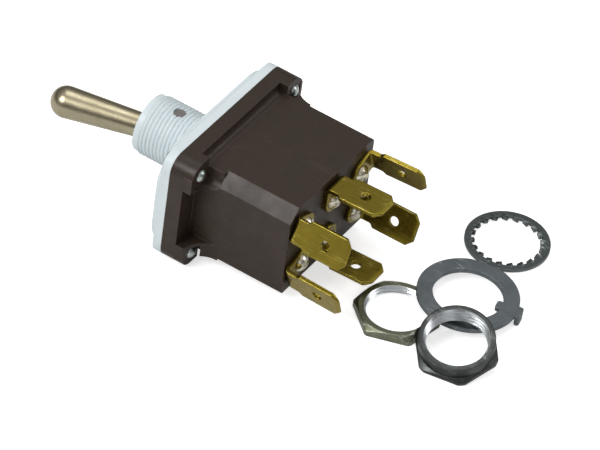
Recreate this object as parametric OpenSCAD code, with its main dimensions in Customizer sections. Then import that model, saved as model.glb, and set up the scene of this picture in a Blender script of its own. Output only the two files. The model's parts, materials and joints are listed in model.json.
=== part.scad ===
// Sealed two-pole panel toggle switch, lying on its long side beside its own mounting hardware.
// Origin: bushing axis at the plate's seating face. -Y runs out along the bushing, +Y towards the
// terminals, X is the toggle direction and +Z points away from the surface that it lies on.

/* [Cover plate] */
// Plate thickness
plate_t = 1.8; // [1.4:0.1:2.6]
// Radius of the plate's corners
plate_r = 3.2; // [2.4:0.1:4]
// Height of the raised seating pad
pad_h = 0.8; // [0.4:0.1:1.2]
// Distance from the plate's edge to the pad's edge
pad_inset = 0.25; // [0.1:0.05:0.8]
// Radius of the pad's corners, which clears the rivet heads
pad_r = 7.4; // [6.5:0.1:8]

/* [Bushing] */
// Outside diameter of the bushing's thread
bushing_d = 11.9; // [11:0.1:13]
// Bushing length in front of the seating face
bushing_l = 13.1; // [12:0.1:15]
// Length of the plain lip at the bushing's rim
lip_l = 1.3; // [0.8:0.1:2]
// Depth of the plain lip below the thread's crests
lip_drop = 0.3; // [0.1:0.05:0.5]
// Diameter of the bore's mouth
mouth_d = 8.7; // [8.6:0.1:9.2]
// Diameter of the socket round the lever's ball
socket_d = 7.1; // [7:0.1:7.8]
// Diameter of the bore at the inner end
tail_d = 9.0; // [8.9:0.1:9.3]
// Diameter of the spigot that passes through the plate
spigot_d = 10.4; // [10.3:0.1:10.8]
// Height of the staked lip behind the plate
stake_h = 0.5; // [0.3:0.1:0.6]
// Overlap of the staked lip on the plate
stake_w = 0.8; // [0.4:0.1:1.2]
// Width of the keyway
keyway_w = 2.2; // [1.6:0.1:2.4]
// Depth of the keyway
keyway_depth = 0.8; // [0.5:0.05:0.9]

/* [Lever] */
// Distance from the seating face to the lever's pivot
pivot_depth = 7.1; // [6.8:0.1:7.4]
// Angle of the thrown lever from the bushing's axis
throw_deg = 14.5; // [10:0.5:15]
// Distance from the pivot to the lever's tip
lever_l = 24.4; // [22:0.1:30]
// Diameter of the lever's rounded tip
tip_d = 6.1; // [5:0.1:7]
// Diameter of the lever's neck
neck_d = 4.5; // [4:0.1:4.6]
// Diameter of the ball at the pivot
ball_d = 6.3; // [6:0.1:6.4]
// Diameter of the inner arm
arm_d = 3.2; // [2.8:0.1:3.3]
// Diameter of the pivot pin
pin_d = 2.3; // [1.8:0.1:2.5]
// Depth of the pin's ends below the bushing's thread
pin_recess = 0.35; // [0.2:0.05:0.5]

/* [Case] */
// Depth of the case behind the plate
case_depth = 23.2; // [22:0.1:27]
// Thickness of the case's flange
flange_t = 3.0; // [2.4:0.1:3.6]
// Length of the case's body, along the toggle direction
body_l = 27.0; // [26:0.1:30]
// Width of the case's body, across the toggle direction
body_w = 19.3; // [18.9:0.1:21]
// Overhang of the flange and the plate at the body's ends
end_overhang = 4.4; // [4:0.1:4.8]
// Overhang of the flange and the plate at the body's sides
side_overhang = 2.3; // [2:0.1:2.6]
// Radius of the body's long corners
body_r = 0.8; // [0.3:0.1:1.2]
// Leg of the chamfer that marks one corner of the body
key_chamfer = 2.5; // [1.5:0.1:2.8]
// Distance from the corner columns to the marked corner's chamfer
key_setback = 3.2; // [2.6:0.1:4]
// Wall thickness of the body
wall_t = 1.75; // [1.4:0.05:2]
// Floor thickness between the cavity and the terminals
floor_t = 3.0; // [2.4:0.1:3.6]
// Height of the corner columns behind the flange
column_h = 1.7; // [1.2:0.1:2.4]
// Length of the corner columns, along the flange
column_l = 5.3; // [4.8:0.1:5.8]
// Width of the corner columns, across the flange
column_w = 5.45; // [5:0.05:6]
// Radius of the ramps from the columns to the body
ramp_r = 4.6; // [3.6:0.1:5]
// Radius of the fillet between flange and body
root_r = 1.5; // [0.8:0.1:2]
// Thickness of the wall between the two poles
divider_t = 1.2; // [0.8:0.1:1.6]

/* [Case rivets] */
// Distance from the rivets to the plate's ends
rivet_end_edge = 2.9; // [2.6:0.1:3.1]
// Distance from the rivets to the plate's sides
rivet_side_edge = 2.75; // [2.5:0.05:3]
// Diameter of the rivet's shank
rivet_d = 1.9; // [1.6:0.1:2.1]
// Diameter of the domed end at the rear
rivet_dome_d = 2.6; // [2.4:0.1:3]
// Diameter of the flat head in front
rivet_head_d = 3.4; // [3:0.1:3.6]
// Thickness of the flat head
rivet_head_t = 0.6; // [0.4:0.1:0.7]
// Radius of the pocket round each domed end
pocket_r = 2.0; // [1.8:0.1:2.3]
// Depth of those pockets
pocket_depth = 1.6; // [1.2:0.1:2.2]
// Radius of the larger pocket at the marked corner
key_pocket_r = 2.8; // [2.5:0.1:3]

/* [Terminals] */
// Distance between the terminals of one pole
terminal_pitch = 8.95; // [8.6:0.05:9.1]
// Distance between the two poles
pole_pitch = 8.9; // [8.6:0.1:9.4]
// Thickness of the terminal strip
tab_t = 0.85; // [0.8:0.05:0.95]
// Width of the connector blade
tab_w = 6.35; // [6.2:0.05:6.4]
// Width of the terminal's foot and neck
neck_w = 5.0; // [4.6:0.1:5.4]
// Height of the blade's tip above the case
tab_l = 11.9; // [11:0.1:14]
// Height of the blade's shoulder above the case
shoulder_h = 2.8; // [2.4:0.1:3.6]
// Distance from the rivet's axis to the blade's middle
foot_l = 3.85; // [3.6:0.05:4]
// Diameter of the hole in the blade
tab_hole_d = 1.9; // [1.6:0.1:2.2]
// Distance from the blade's tip to its hole
tab_hole_setback = 4.8; // [4:0.1:5.2]
// Length of the blade's corner cuts
tab_corner = 1.3; // [0.8:0.1:1.6]
// Length of the bevel at the blade's tip
tab_bevel = 0.9; // [0.6:0.1:1.2]
// Angle of the middle terminals' feet from the case's width
middle_turn_deg = 1; // [-5:1:8]
// Angle of the leaning terminals' feet from the case's length
leaning_turn_deg = 21; // [15:1:26]
// Diameter of the terminal rivets' heads
stud_head_d = 3.7; // [3.4:0.1:3.9]
// Height of the terminal rivets' heads
stud_head_h = 1.2; // [0.9:0.1:1.5]
// Diameter of the terminal rivets' shanks
stud_d = 2.4; // [2:0.1:2.6]
// Diameter of the contact heads inside the case
contact_d = 3.6; // [3.2:0.1:3.8]

/* [Contact mechanism] */
// Distance from the seating face to the rockers' pivots
rocker_depth = 15.0; // [14.6:0.1:16]
// Tilt of a closed rocker
rocker_deg = 6.5; // [4:0.5:7]
// Rise of the rocker's wings towards the lever
wing_deg = 14; // [8:1:14]
// Thickness of the rocker blade
rocker_t = 0.6; // [0.4:0.1:0.7]
// Width of the rocker blade
rocker_w = 3.2; // [2.6:0.1:3.6]
// Diameter of the plungers
plunger_d = 2.8; // [2.4:0.1:3]
// Length of the plungers
plunger_l = 6.0; // [5.6:0.1:6.4]
// Length that the plungers stand out of the yoke
plunger_out = 4.0; // [3.6:0.1:4.2]
// Depth of the spring's bore in the plungers
plunger_bore = 2.4; // [2:0.1:2.8]
// Wall thickness of the yoke round plungers and arm
yoke_wall = 0.95; // [0.8:0.05:1]
// Thickness of the yoke under each spring
yoke_floor = 1.2; // [0.9:0.1:1.5]
// Gap between the bushing's staked lip and the yoke
yoke_gap = 1.1; // [1.0:0.1:1.4]
// Length of the cone at the front of the yoke's collar, which clears the bushing's staked end
yoke_nose_l = 1.0; // [0.8:0.1:1.2]
// Length of the lever's arm inside the yoke
arm_grip = 2.5; // [2:0.1:4]
// Diameter of the springs' wire
wire_d = 0.26; // [0.2:0.02:0.3]
// Turns in each plunger spring
spring_turns = 6; // [4:1:9]

/* [Mounting hardware] */
// Width across the flats of both nuts
nut_af = 14.3; // [14:0.1:14.6]
// Thickness of the plain nut
nut_t = 1.8; // [1.6:0.1:2.4]
// Countersink at the ends of the nuts' threads
nut_sink = 0.45; // [0.3:0.05:0.5]
// Height of the chamfer on a nut's corners
nut_chamfer = 0.75; // [0.4:0.05:0.9]
// How far the flat face of a nut stays inside its flats
nut_face_in = 0.15; // [0.1:0.05:0.3]
// Thickness of the collar nut's hexagon
collar_hex_t = 1.15; // [1:0.05:1.6]
// Height of the collar above the hexagon
collar_h = 2.45; // [2:0.05:2.8]
// Outside diameter of the collar
collar_d = 13.9; // [13.4:0.1:14]
// Outside diameter of the locking ring
ring_d = 18.9; // [18.6:0.1:19.2]
// Diameter of the locking ring's hole
ring_hole_d = 13.0; // [12.2:0.1:13.2]
// Thickness of the locking ring
ring_t = 1.0; // [0.8:0.1:1.1]
// Width of the locking ring's outer tab
ring_tab_w = 2.6; // [2.2:0.1:3.2]
// Length of the outer tab below the ring
ring_tab_l = 1.4; // [1.1:0.1:1.6]
// Outside diameter of the lock washer
washer_d = 15.9; // [15.6:0.1:16.2]
// Thickness of the lock washer
washer_t = 0.6; // [0.5:0.05:0.8]
// Radial width of the lock washer's rim
washer_rim = 1.3; // [1.1:0.1:1.5]
// Teeth on the lock washer
washer_teeth = 20; // [14:1:24]
// Twist of the lock washer's teeth
tooth_deg = 22; // [10:1:30]

/* [Hidden] */
$fn = 64;

// Clearances
running = 0.04;
seat = 0.02;
contact_gap = 0.12;
overrun = 1;

// Plate, flange and rivets
plate_l = body_l + 2 * end_overhang;
plate_w = body_w + 2 * side_overhang;
column_gap_l = plate_l - 2 * column_l;
column_gap_w = plate_w - 2 * column_w;
rivet_pitch_l = plate_l - 2 * rivet_end_edge;
rivet_pitch_w = plate_w - 2 * rivet_side_edge;

// Stations along Y, from the seating face
plate_front = pad_h;
case_front = plate_front + plate_t;
flange_back = case_front + flange_t;
column_back = flange_back + column_h;
case_back = case_front + case_depth;
floor_front = case_back - floor_t;
surface_z = -plate_w / 2;

// Thread, bore and lever
bushing_r = bushing_d / 2;
thread_root_r = bushing_r - 0.5;
nut_bore_r = thread_root_r + 0.15;
over_thread_r = bushing_r + 0.1;
tip_r = tip_d / 2;
tip_centre = lever_l - tip_r;
ball_r = ball_d / 2;
// Yoke and plungers, as distances from the lever's pivot
yoke_front = pivot_depth + case_front + stake_h + yoke_gap;
arm_l = yoke_front + arm_grip;
plunger_tip = rocker_depth + pivot_depth - rocker_t / 2 - contact_gap;
yoke_back = plunger_tip - plunger_out;
plunger_front = plunger_tip - plunger_l;
socket_floor = yoke_front + yoke_floor;
spring_seat = plunger_front + plunger_bore;
boss_r = plunger_d / 2 + yoke_wall;

// Inside radius of the terminals' bend
bend_r = 0.4;

// Cavity inside the case
cavity_l = body_l - 2 * wall_t;
cavity_w = body_w - 2 * wall_t;
cavity_r = 1.5;
divider_front = rocker_depth - 3;
gasket_w = 1.1;
gasket_t = 0.7;

// Contacts, as heights from the rocker's pivot
button_h = 0.5;
button_d = 2.2;
rib_r = 0.5;
wing_start = 1.6;
rocker_half = terminal_pitch + 0.95;
function wing_rise(x) = max(0, x - wing_start) * tan(wing_deg);
end_contact_y = rocker_depth + rocker_t / 2 + button_h - wing_rise(terminal_pitch)
    + terminal_pitch * sin(rocker_deg) + contact_gap;
middle_contact_y = rocker_depth + rocker_t / 2 + rib_r + contact_gap;

// Lean of each blade away from its rivet, as the strips were bent: a1, a2, a3, b1, b2, b3
blade_leans = [-0.3, 2.2, 2.8, 1.4, -2.1, 0.5];

// Places of the loose hardware, on the surface that the switch lies on. The ring stands on its
// bent tab and on one flat of the plain nut; the collar nut leans on the ring.
nut_place = [2.3, 43.7];
nut_turn = -10.65;
ring_place = [-8.5, 51.9];
ring_tab_turn = 103;
washer_place = [-27.0, 48.95];
collar_place = [4.32, 57.6];
collar_lean = 15;
collar_tilt = 14.5;
collar_spin = 25.6;
lean_turn = nut_turn - 30;
to_nut = nut_place - ring_place;
nut_reach = to_nut[0] * cos(lean_turn) + to_nut[1] * sin(lean_turn) - nut_af / 2;
tab_reach = (ring_d / 2 + ring_t / 2) * cos(ring_tab_turn - lean_turn);
ring_tilt = atan((nut_t - ring_tab_l) / (nut_reach - tab_reach));
ring_height = nut_t - nut_reach * tan(ring_tilt);
collar_reach = nut_af / 2 / cos(30) * cos(collar_spin);

// A flat outline in X and Z, drawn as [x, z], made solid from one station to another
module slab(from, to) {
    translate([0, to, 0]) rotate([90, 0, 0]) linear_extrude(to - from) children();
}

// A round bar along Y
module bar(from, to, d) {
    translate([0, from, 0]) rotate([-90, 0, 0]) cylinder(d = d, h = to - from);
}

// A cone along Y
module taper(from, to, d1, d2) {
    translate([0, from, 0]) rotate([-90, 0, 0]) cylinder(d1 = d1, d2 = d2, h = to - from);
}

module round_rectangle(l, w, r) {
    square([l - 2 * r, w], center = true);
    square([l, w - 2 * r], center = true);
    for (x = [-1, 1], z = [-1, 1])
        translate([x * (l / 2 - r), z * (w / 2 - r)]) circle(r = r);
}

module at_case_rivets() {
    for (x = [-1, 1], z = [-1, 1])
        translate([x * rivet_pitch_l / 2, 0, z * rivet_pitch_w / 2]) children();
}

module at_terminals() {
    for (x = [-1, 0, 1], z = [-1, 1])
        translate([x * terminal_pitch, 0, z * pole_pitch / 2]) children();
}

// The lever's own frame: pivot at the origin, tip towards -Y, thrown towards +X
module at_lever() {
    translate([0, -pivot_depth, 0]) rotate([0, 0, throw_deg]) children();
}

module cover_plate() {
    color([0.80, 0.84, 0.85])
    difference() {
        union() {
            slab(plate_front, case_front) round_rectangle(plate_l, plate_w, plate_r);
            slab(0, plate_front + seat)
                round_rectangle(plate_l - 2 * pad_inset, plate_w - 2 * pad_inset, pad_r);
        }
        bar(-overrun, case_front + overrun, spigot_d + 2 * seat);
        at_case_rivets() bar(-overrun, case_front + overrun, rivet_d + 2 * seat);
        at_case_rivets() bar(-overrun, plate_front, rivet_head_d + 4 * seat);
    }
}

module bushing() {
    rim = -bushing_l;
    ball_front = -pivot_depth - 1.8;
    ball_back = -pivot_depth + 1.6;
    tail = case_front + stake_h;
    color([0.80, 0.84, 0.85])
    difference() {
        union() {
            bar(rim, rim + lip_l, bushing_d - 2 * lip_drop);
            bar(rim + lip_l, 0, bushing_d);
            bar(-overrun, tail, spigot_d);
            bar(case_front, tail, spigot_d + 2 * stake_w);
        }
        taper(rim, ball_front, mouth_d, socket_d);
        bar(rim - overrun, rim, mouth_d);
        bar(ball_front, ball_back, socket_d);
        taper(ball_back, tail, socket_d, tail_d);
        bar(tail, tail + overrun, tail_d);
        translate([0, -pivot_depth, -bushing_r - overrun])
            cylinder(d = pin_d + 2 * seat, h = bushing_d + 2 * overrun);
        translate([-bushing_r - overrun, rim - overrun, -keyway_w / 2])
            cube([overrun + keyway_depth, bushing_l + overrun, keyway_w]);
    }
}

// Concave ramp from a corner column down to the body's end face, with the rivet's pocket in it
module ramp() {
    out = plate_l / 2 - body_l / 2;
    back = column_back + ramp_r;
    difference() {
        translate([body_l / 2 - wall_t / 2, flange_back, column_gap_w / 2])
            cube([out + wall_t / 2, back - flange_back, (body_w - column_gap_w) / 2]);
        translate([body_l / 2 + ramp_r, back, 0]) cylinder(r = ramp_r, h = plate_w);
        at_case_rivets() bar(column_back, column_back + pocket_depth, 2 * pocket_r);
    }
}

// Fillet between the flange and the body's long side
module root_fillet() {
    difference() {
        translate([-column_gap_l / 2, flange_back, body_w / 2 - seat])
            cube([column_gap_l, root_r, root_r + seat]);
        translate([-plate_l / 2, flange_back + root_r, body_w / 2 + root_r])
            rotate([0, 90, 0]) cylinder(r = root_r, h = plate_l);
    }
}

module corner_columns() {
    slab(case_front, column_back)
        difference() {
            round_rectangle(plate_l, plate_w, plate_r);
            square([column_gap_l, plate_w + overrun], center = true);
            square([plate_l + overrun, column_gap_w], center = true);
        }
}

// Pocket and chamfer that mark one corner of the case
module marked_corner() {
    chamfer_front = column_back + key_setback;
    translate([rivet_pitch_l / 2, 0, rivet_pitch_w / 2])
        bar(column_back, chamfer_front, 2 * key_pocket_r);
    slab(chamfer_front, case_back + overrun)
        translate([body_l / 2, body_w / 2])
            polygon([
                [-key_chamfer, 0], [-key_chamfer, overrun], [overrun, overrun],
                [overrun, -key_chamfer], [0, -key_chamfer]
            ]);
}

module case() {
    color([0.24, 0.19, 0.17])
    difference() {
        union() {
            slab(case_front, flange_back) round_rectangle(plate_l, plate_w, plate_r);
            corner_columns();
            slab(case_front, case_back) round_rectangle(body_l, body_w, body_r);
            for (x = [0, 1], z = [0, 1])
                mirror([x, 0, 0]) mirror([0, 0, z]) ramp();
            for (z = [0, 1]) mirror([0, 0, z]) root_fillet();
        }
        difference() {
            slab(case_front - overrun, floor_front)
                round_rectangle(cavity_l, cavity_w, cavity_r);
            translate([-cavity_l / 2, divider_front, -divider_t / 2])
                cube([cavity_l, case_depth, divider_t]);
        }
        slab(case_front - overrun, case_front + gasket_t) gasket_outline(seat);
        at_case_rivets() bar(0, column_back + overrun, rivet_d + 2 * seat);
        marked_corner();
        at_terminals() bar(floor_front - overrun, case_back + overrun, stud_d + 2 * seat);
    }
}

module gasket_outline(clear) {
    inner_l = cavity_l + 0.4;
    inner_w = cavity_w + 0.4;
    difference() {
        square([inner_l + 2 * (gasket_w + clear), inner_w + 2 * (gasket_w + clear)], center = true);
        square([inner_l - 2 * clear, inner_w - 2 * clear], center = true);
    }
}

module cover_gasket() {
    color([0.10, 0.10, 0.10])
    slab(case_front + seat, case_front + gasket_t - seat) gasket_outline(0);
}

module lever() {
    color([0.70, 0.69, 0.64])
    at_lever() difference() {
        union() {
            translate([0, -tip_centre, 0]) sphere(d = tip_d);
            taper(-tip_centre, -pivot_depth, tip_d, neck_d + 0.2);
            bar(-pivot_depth, 0, neck_d);
            sphere(d = ball_d);
            bar(0, arm_l, arm_d);
        }
        translate([0, 0, -ball_r - overrun])
            cylinder(d = pin_d + 2 * running, h = ball_d + 2 * overrun);
    }
}

module pivot_pin() {
    half = bushing_r - pin_recess;
    color([0.35, 0.36, 0.37])
    translate([0, -pivot_depth, -half]) cylinder(d = pin_d, h = 2 * half);
}

// Moulded yoke on the lever's inner arm, with one spring socket for each pole
module yoke() {
    color([0.85, 0.82, 0.74])
    at_lever() difference() {
        union() {
            translate([-boss_r * 0.75, yoke_front, -pole_pitch / 2])
                cube([boss_r * 1.5, yoke_back - yoke_front - yoke_wall, pole_pitch]);
            for (z = [-1, 1])
                translate([0, 0, z * pole_pitch / 2]) bar(yoke_front, yoke_back, 2 * boss_r);
            taper(yoke_front, yoke_front + yoke_nose_l, arm_d + yoke_wall, arm_d + 2 * yoke_floor);
            bar(yoke_front + yoke_nose_l - seat, yoke_back - yoke_wall, arm_d + 2 * yoke_floor);
        }
        bar(yoke_front - overrun, arm_l + seat, arm_d + 2 * seat);
        for (z = [-1, 1])
            translate([0, 0, z * pole_pitch / 2])
                bar(socket_floor, yoke_back + overrun, plunger_d + 2 * running);
    }
}

module plunger(pole) {
    color([0.90, 0.88, 0.80])
    at_lever() translate([0, 0, pole * pole_pitch / 2]) difference() {
        union() {
            bar(plunger_front, plunger_tip - plunger_d / 2, plunger_d);
            translate([0, plunger_tip - plunger_d / 2, 0]) sphere(d = plunger_d);
        }
        bar(plunger_front - overrun, spring_seat, plunger_d - yoke_wall);
    }
}

// A round wire swept along a helix, one ring of points for each step
module plunger_spring(pole) {
    steps = spring_turns * 14;
    sides = 6;
    coil_r = (plunger_d - yoke_wall - wire_d) / 2 - 2 * running;
    rise = spring_seat - socket_floor - 2 * seat - wire_d;
    wire_points = [
        for (i = [0:steps])
            let (turn = 360 * spring_turns * i / steps, y = socket_floor + seat + wire_d / 2 + rise * i / steps)
            for (k = [0:sides - 1])
                let (r = coil_r + wire_d / 2 * cos(360 * k / sides))
                [r * cos(turn), y + wire_d / 2 * sin(360 * k / sides), r * sin(turn)]
    ];
    wire_faces = [
        [for (k = [0:sides - 1]) k],
        for (i = [0:steps - 1], k = [0:sides - 1])
            let (a = i * sides + k, b = i * sides + (k + 1) % sides)
            [a, a + sides, b + sides, b],
        [for (k = [0:sides - 1]) steps * sides + sides - 1 - k]
    ];
    color([0.72, 0.72, 0.70])
    at_lever() translate([0, 0, pole * pole_pitch / 2])
        polyhedron(points = wire_points, faces = wire_faces, convexity = 10);
}

// One contact rocker: gull-wing blade, pivot rib and two contact buttons
module rocker(pole) {
    rise = wing_rise(rocker_half);
    half = rocker_t / 2;
    color([0.78, 0.55, 0.35])
    translate([0, rocker_depth, pole * pole_pitch / 2]) rotate([0, 0, -rocker_deg]) {
        translate([0, 0, -rocker_w / 2]) linear_extrude(rocker_w)
            polygon([
                [-rocker_half, -half - rise], [-wing_start, -half], [wing_start, -half],
                [rocker_half, -half - rise], [rocker_half, half - rise], [wing_start, half],
                [-wing_start, half], [-rocker_half, half - rise]
            ]);
        translate([0, half, -rocker_w / 2]) cylinder(r = rib_r, h = rocker_w);
        for (x = [-1, 1])
            translate([x * terminal_pitch, -wing_rise(terminal_pitch), 0])
                bar(0, half + button_h, button_d);
    }
}

// Side profile of a strip's bend and neck, in X and Y, on the bend's centre
module bend_profile(lean, neck_h) {
    outer_r = bend_r + tab_t;
    far = 2 * outer_r;
    translate([-tab_t, -outer_r]) square([tab_t, tab_t]);
    difference() {
        intersection() {
            circle(r = outer_r);
            polygon([[0, 0], [0, -far], [far, -far], [far * cos(lean), -far * sin(lean)]]);
        }
        circle(r = bend_r);
    }
    rotate(-lean) translate([bend_r, 0]) square([tab_t, neck_h]);
}

// Terminal strip about its rivet: foot along +X on the case, blade up along +Y
module terminal_strip(lean) {
    bend_x = foot_l - tab_t / 2 - bend_r;
    bend_y = tab_t + bend_r;
    half_neck = neck_w / 2;
    shoulder = shoulder_h - bend_y;
    difference() {
        union() {
            slab(0, tab_t) {
                circle(d = neck_w);
                translate([0, -half_neck]) square([bend_x, neck_w]);
            }
            translate([bend_x, bend_y, 0]) {
                translate([0, 0, -half_neck]) linear_extrude(neck_w)
                    bend_profile(lean, shoulder + tab_t);
                rotate([0, 0, -lean]) translate([bend_r, shoulder, 0])
                    blade(tab_l - shoulder_h);
            }
        }
        bar(-overrun, tab_t + overrun, stud_d + 2 * seat);
    }
}

// Connector blade with sloped shoulders, cut corners, bevelled tip and hole
module blade(h) {
    half_neck = neck_w / 2;
    half_tab = tab_w / 2;
    slope = half_tab - half_neck;
    bevel = tab_t * 0.3;
    difference() {
        rotate([0, 90, 0]) linear_extrude(tab_t)
            polygon([
                [-half_neck, 0], [half_neck, 0], [half_tab, slope], [half_tab, h - tab_corner],
                [half_tab - tab_corner, h], [tab_corner - half_tab, h],
                [-half_tab, h - tab_corner], [-half_tab, slope]
            ]);
        translate([-overrun, h - tab_hole_setback, 0]) rotate([0, 90, 0])
            cylinder(d = tab_hole_d, h = tab_t + 2 * overrun);
        for (side = [0, 1])
            translate([side * tab_t, h, 0]) mirror([side, 0, 0])
                linear_extrude(tab_w + overrun, center = true)
                    polygon([
                        [-overrun, overrun], [-overrun, -tab_bevel], [0, -tab_bevel],
                        [bevel, 0], [bevel, overrun]
                    ]);
    }
}

// Columns are -1, 0 and 1 along X, poles are 1 (a) and -1 (b)
module terminal(column, pole) {
    turn = column == 0 ? -90 * pole + middle_turn_deg
        : column * pole > 0 ? -leaning_turn_deg + 90 * (1 - column)
        : leaning_turn_deg + 90 * (1 - column);
    color([0.72, 0.58, 0.25])
    translate([column * terminal_pitch, case_back, pole * pole_pitch / 2])
        rotate([0, turn, 0]) terminal_strip(blade_leans[(1 - pole) * 1.5 + 1 - column]);
}

// Rivet that holds a terminal outside and ends in a contact head inside the case
module contact_rivet(column, pole) {
    head_y = case_back + tab_t;
    contact_y = column == 0 ? middle_contact_y : end_contact_y;
    dome_r = (stud_head_d * stud_head_d / 4 + stud_head_h * stud_head_h) / (2 * stud_head_h);
    color([0.80, 0.76, 0.62])
    translate([column * terminal_pitch, 0, pole * pole_pitch / 2]) {
        bar(contact_y, contact_y + 0.9, contact_d);
        bar(contact_y, head_y + seat, stud_d);
        intersection() {
            bar(head_y, head_y + stud_head_h, stud_head_d);
            translate([0, head_y + stud_head_h - dome_r, 0]) sphere(r = dome_r);
        }
    }
}

module case_rivet(x, z) {
    dome_h = 0.8;
    dome_r = (rivet_dome_d * rivet_dome_d / 4 + dome_h * dome_h) / (2 * dome_h);
    color([0.75, 0.76, 0.76])
    translate([x * rivet_pitch_l / 2, 0, z * rivet_pitch_w / 2]) {
        bar(plate_front - rivet_head_t, plate_front, rivet_head_d);
        bar(plate_front - rivet_head_t / 2, column_back + seat, rivet_d);
        intersection() {
            bar(column_back, column_back + dome_h, rivet_dome_d);
            translate([0, column_back + dome_h - dome_r, 0]) sphere(r = dome_r);
        }
    }
}

// Hexagonal disc with its corners turned off at the top face
module hexagon(af, t) {
    corner_r = af / 2 / cos(30);
    cut = min(nut_chamfer, t / 2);
    intersection() {
        cylinder(r = corner_r, h = t, $fn = 6);
        rotate_extrude()
            polygon([[0, 0], [corner_r + seat, 0], [corner_r + seat, t - cut], [af / 2 - nut_face_in, t], [0, t]]);
    }
}

// Threaded hole of a nut, countersunk at both ends
module nut_hole(h) {
    translate([0, 0, -overrun]) cylinder(r = nut_bore_r, h = h + 2 * overrun);
    for (end = [0, 1])
        translate([0, 0, end * h]) mirror([0, 0, end]) translate([0, 0, -seat])
            cylinder(r1 = nut_bore_r + nut_sink + seat, r2 = nut_bore_r, h = nut_sink + seat);
}

module hex_nut() {
    color([0.72, 0.72, 0.64])
    translate([nut_place[0], nut_place[1], surface_z]) rotate([0, 0, nut_turn])
        difference() {
            hexagon(nut_af, nut_t);
            nut_hole(nut_t);
        }
}

// Nut with a plain round collar; one corner rests on the surface and its hexagon on the ring
module collar_nut() {
    height = collar_hex_t + collar_h;
    color([0.20, 0.20, 0.20])
    translate([collar_place[0], collar_place[1], surface_z + collar_reach * sin(collar_tilt)])
        rotate([0, 0, collar_lean]) rotate([0, collar_tilt, 0]) rotate([0, 0, collar_spin])
            difference() {
                union() {
                    hexagon(nut_af, collar_hex_t);
                    cylinder(d = collar_d, h = height);
                }
                nut_hole(height);
            }
}

// Keyed ring with an inner key, a flat, and an outer tab bent down at right angles
module locking_ring() {
    key_w = keyway_w - 0.2;
    ring_r = ring_d / 2;
    key_tip = bushing_r - keyway_depth + 0.2;
    tab_out = 0.9;
    color([0.42, 0.44, 0.45])
    translate([ring_place[0], ring_place[1], surface_z + ring_height + seat])
        rotate([0, 0, lean_turn]) rotate([0, -ring_tilt, 0]) rotate([0, 0, ring_tab_turn - lean_turn])
            difference() {
                union() {
                    difference() {
                        cylinder(r = ring_r, h = ring_t);
                        translate([0, 0, -overrun])
                            cylinder(d = ring_hole_d, h = ring_t + 2 * overrun);
                    }
                    translate([key_tip, -key_w / 2, 0])
                        cube([ring_hole_d / 2 - key_tip + 0.4, key_w, ring_t]);
                    translate([ring_r - 0.6, -ring_tab_w / 2, 0])
                        cube([0.6 + tab_out, ring_tab_w, ring_t]);
                    translate([ring_r + tab_out - ring_t, -ring_tab_w / 2, -ring_tab_l])
                        cube([ring_t, ring_tab_w, ring_t + ring_tab_l]);
                }
                rotate([0, 0, 90]) translate([ring_r - 0.35, -ring_r, -overrun])
                    cube([overrun, ring_d, ring_t + 2 * overrun]);
            }
}

module lock_washer() {
    rim_inner_r = washer_d / 2 - washer_rim;
    tooth_l = rim_inner_r - over_thread_r + 0.5;
    tooth_w = 2 * PI * rim_inner_r / washer_teeth * 0.55;
    lift = tooth_w / 2 * sin(tooth_deg);
    color([0.30, 0.31, 0.32])
    translate([washer_place[0], washer_place[1], surface_z + lift]) {
        difference() {
            cylinder(d = washer_d, h = washer_t);
            translate([0, 0, -overrun]) cylinder(r = rim_inner_r, h = washer_t + 2 * overrun);
        }
        for (i = [0:washer_teeth - 1])
            rotate([0, 0, 360 / washer_teeth * i])
                translate([over_thread_r, 0, washer_t / 2]) rotate([tooth_deg, 0, 0])
                    translate([0, -tooth_w / 2, -washer_t / 2])
                        cube([tooth_l, tooth_w, washer_t]);
    }
}

bushing();
cover_plate();
case();
cover_gasket();
lever();
pivot_pin();
yoke();
plunger(1);  // plunger_a
plunger(-1);  // plunger_b
plunger_spring(1);  // plunger_spring_a
plunger_spring(-1);  // plunger_spring_b
rocker(1);  // rocker_a
rocker(-1);  // rocker_b
terminal(1, 1);  // terminal_a1
terminal(0, 1);  // terminal_a2
terminal(-1, 1);  // terminal_a3
terminal(1, -1);  // terminal_b1
terminal(0, -1);  // terminal_b2
terminal(-1, -1);  // terminal_b3
contact_rivet(1, 1);  // contact_rivet_a1
contact_rivet(0, 1);  // contact_rivet_a2
contact_rivet(-1, 1);  // contact_rivet_a3
contact_rivet(1, -1);  // contact_rivet_b1
contact_rivet(0, -1);  // contact_rivet_b2
contact_rivet(-1, -1);  // contact_rivet_b3
case_rivet(1, 1);  // case_rivet_1
case_rivet(1, -1);  // case_rivet_2
case_rivet(-1, 1);  // case_rivet_3
case_rivet(-1, -1);  // case_rivet_4
hex_nut();
collar_nut();
locking_ring();
lock_washer();
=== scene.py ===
import json
import logging
import math
from dataclasses import dataclass, field
from enum import Enum

import bmesh
import bpy
from mathutils import Matrix, Vector


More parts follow.
